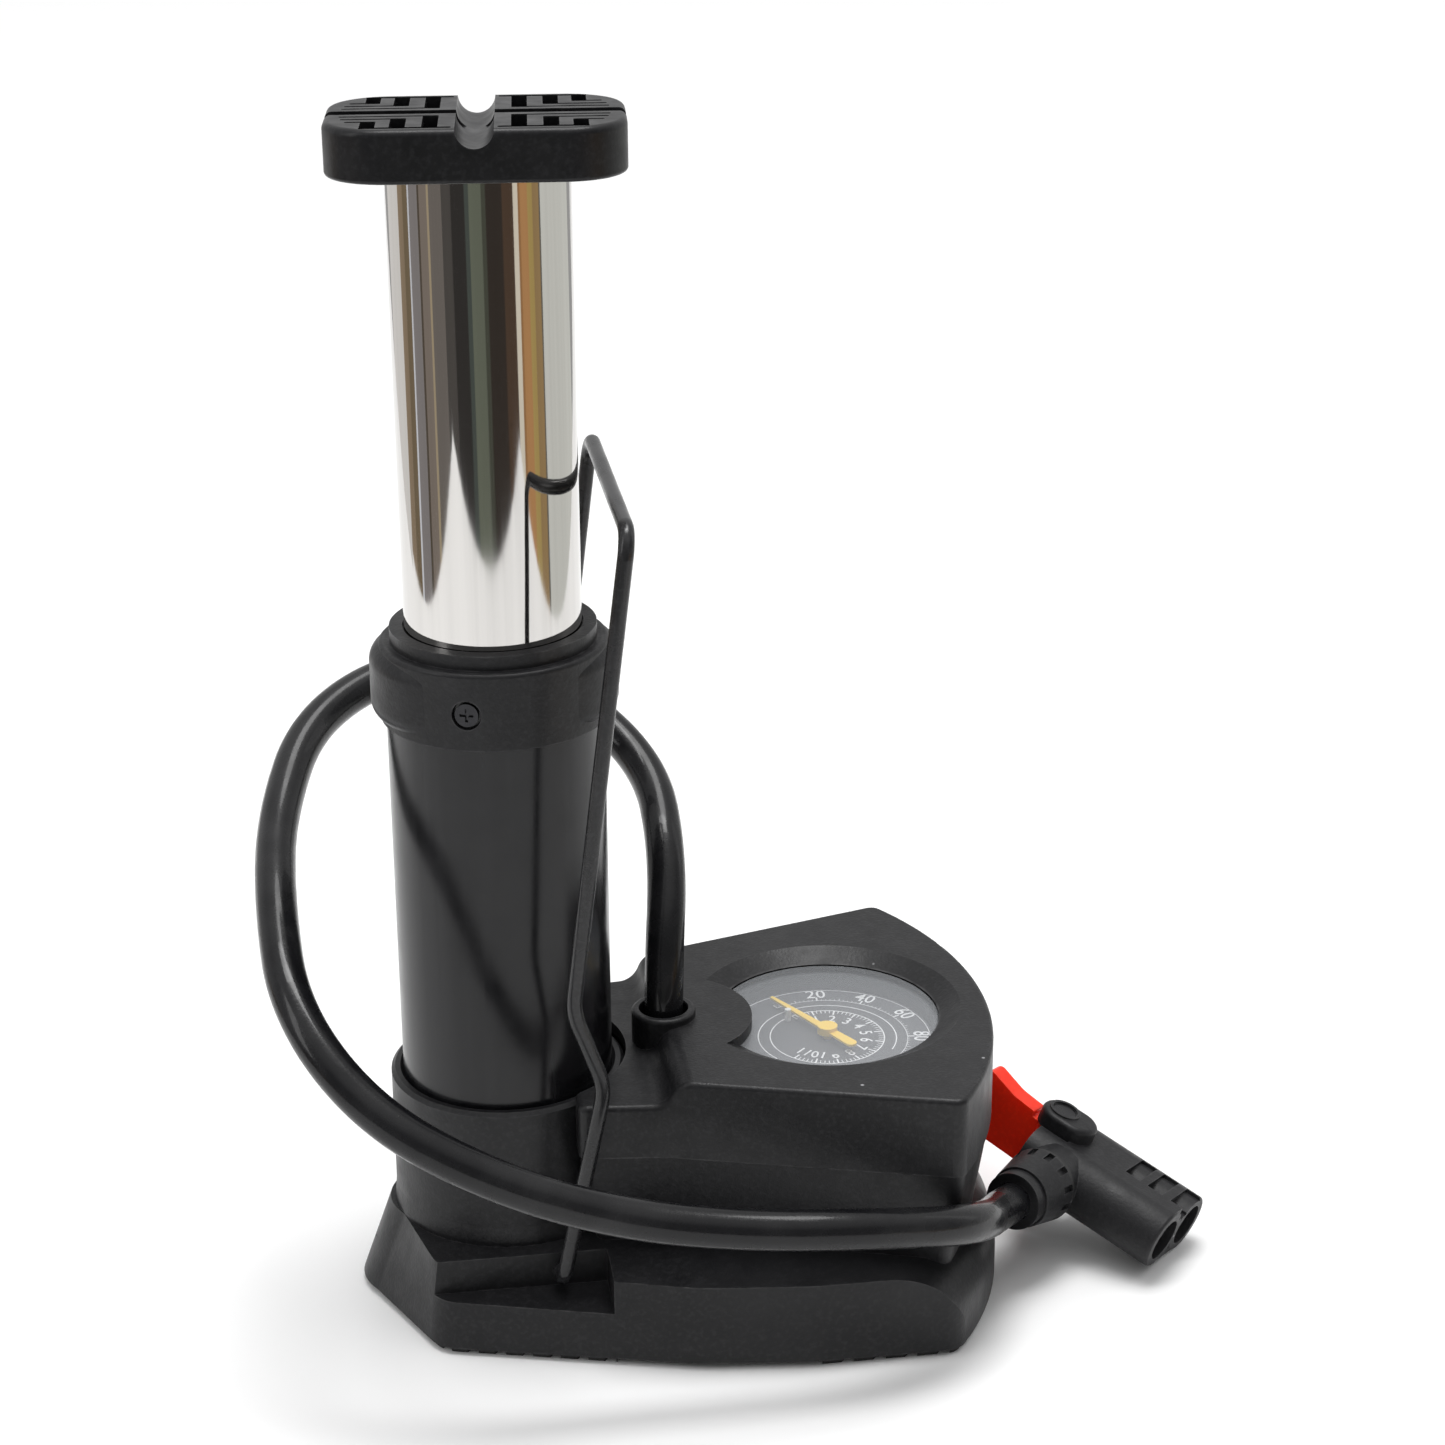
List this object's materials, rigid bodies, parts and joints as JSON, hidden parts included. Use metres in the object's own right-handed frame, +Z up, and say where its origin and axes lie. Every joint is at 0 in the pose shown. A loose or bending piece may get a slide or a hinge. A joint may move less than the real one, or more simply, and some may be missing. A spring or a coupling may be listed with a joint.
{
  "type": "foot pump",
  "caption": "Mini foot-operated bike pump: upright cylinder with a sprung pedal plunger, wire bail, pressure gauge in the foot, and a hose with a lever-locked valve head.",
  "frame": {"origin": "under the middle of the foot, on the surface that the soles rest on", "axes": "+Z up along the cylinder, +X from the cylinder towards the gauge and the nose of the foot, -Y the side where the hose crosses the foot"},
  "size_m": [0.2029, 0.1266, 0.2528],
  "materials": {
    "black_plastic": "fine moulded texture",
    "pedal_plastic": "satin moulded",
    "head_plastic": "satin moulded",
    "red_plastic": "gloss",
    "white_plastic": "moulded",
    "anodised_black": "black anodised satin",
    "end_cap_metal": "machined",
    "chrome": "polished",
    "wire_black": "satin black",
    "sole_rubber": "matt",
    "seal_rubber": "matt",
    "hose_rubber": "glossy",
    "screw_black": "black oxide",
    "steel": "zinc plated",
    "brass": "machined",
    "ferrule_metal": "crimped",
    "dial_face": "printed matt",
    "needle_yellow": "matt paint",
    "lens_clear": "clear moulded window"
  },
  "bodies": {
    "base": {"base_body": "black_plastic", "housing_cover": "black_plastic", "collar": "black_plastic", "bottom_plate": "black_plastic", "air_manifold": "black_plastic", "nut_collar": "black_plastic", "gauge_case": "black_plastic", "head_body": "head_plastic", "hose_nut": "head_plastic", "guide_bush": "white_plastic", "zero_stop": "white_plastic", "cylinder_tube": "anodised_black", "cylinder_end_cap": "end_cap_metal", "front_sole": "sole_rubber", "rear_sole": "sole_rubber", "end_cap_oring": "seal_rubber", "wiper_ring": "seal_rubber", "nut_seal": "seal_rubber", "schrader_grommet": "seal_rubber", "presta_grommet": "seal_rubber", "hose": "hose_rubber", "collar_screws": "screw_black", "cover_screws": "screw_black", "lever_pin": "screw_black", "bottom_screws": "steel", "check_valve_spring": "steel", "check_valve_retainer": "steel", "return_spring": "steel", "hose_barb": "brass", "bourdon_tube": "brass", "gauge_movement": "brass", "hose_ferrule": "ferrule_metal", "gauge_dial": "dial_face", "gauge_lens": "lens_clear"},
    "spring_seat": {"spring_cap": "white_plastic"},
    "plunger": {"plunger_tube": "chrome", "piston": "white_plastic", "piston_seal": "seal_rubber", "piston_pin": "steel", "pedal": "pedal_plastic", "pedal_insert": "white_plastic", "pedal_screw": "steel"},
    "bail": {"bail_wire": "wire_black"},
    "needle": {"gauge_needle": "needle_yellow", "needle_pinion": "brass"},
    "lever": {"head_lever": "red_plastic"},
    "pushers": {"grommet_pushers": "white_plastic"},
    "check_ball": {"check_valve_ball": "steel"}
  },
  "joints": [
    {"name": "plunger_slide", "type": "slide", "parent": "base", "child": "spring_seat", "axis": [0, 0, -1], "range_m": [0, 0.09], "stiffness_N_per_m": 400, "springref_m": -0.03, "deforming": ["return_spring"]},
    {"name": "plunger_turn", "type": "hinge", "parent": "spring_seat", "child": "plunger", "pos_m": [-0.0364, 0, 0.118], "axis": [0, 0, 1], "continuous": true},
    {"name": "bail_swing", "type": "hinge", "parent": "base", "child": "bail", "pos_m": [-0.0287, 0, 0.0155], "axis": [0, 1, 0], "range_deg": [0, 8.3]},
    {"name": "needle_turn", "type": "hinge", "parent": "base", "child": "needle", "pos_m": [0.0331, 0, 0.052], "axis": [0, 0, -1], "range_deg": [0, 270], "stiffness_Nm_per_rad": 0.0001, "springref_deg": -11.46},
    {"name": "lever_turn", "type": "hinge", "parent": "base", "child": "lever", "pos_m": [0.08381, 0.00139, 0.01767], "axis": [-0.3226, 0.0904, -0.9422], "range_deg": [0, 90]},
    {"name": "pusher_slide", "type": "slide", "parent": "base", "child": "pushers", "axis": [0.681, -0.6692, -0.2974], "range_m": [0, 0.0011]},
    {"name": "ball_slide", "type": "slide", "parent": "base", "child": "check_ball", "axis": [0, 0, -1], "range_m": [0, 0.001], "stiffness_N_per_m": 60, "springref_m": -0.002, "deforming": ["check_valve_spring"]}
  ],
  "couplings": [
    {"joint": "bail_swing", "follows": "plunger_slide", "rad_per_m": 1.59},
    {"joint": "pusher_slide", "follows": "lever_turn", "m_per_rad": 0.0006366}
  ]
}
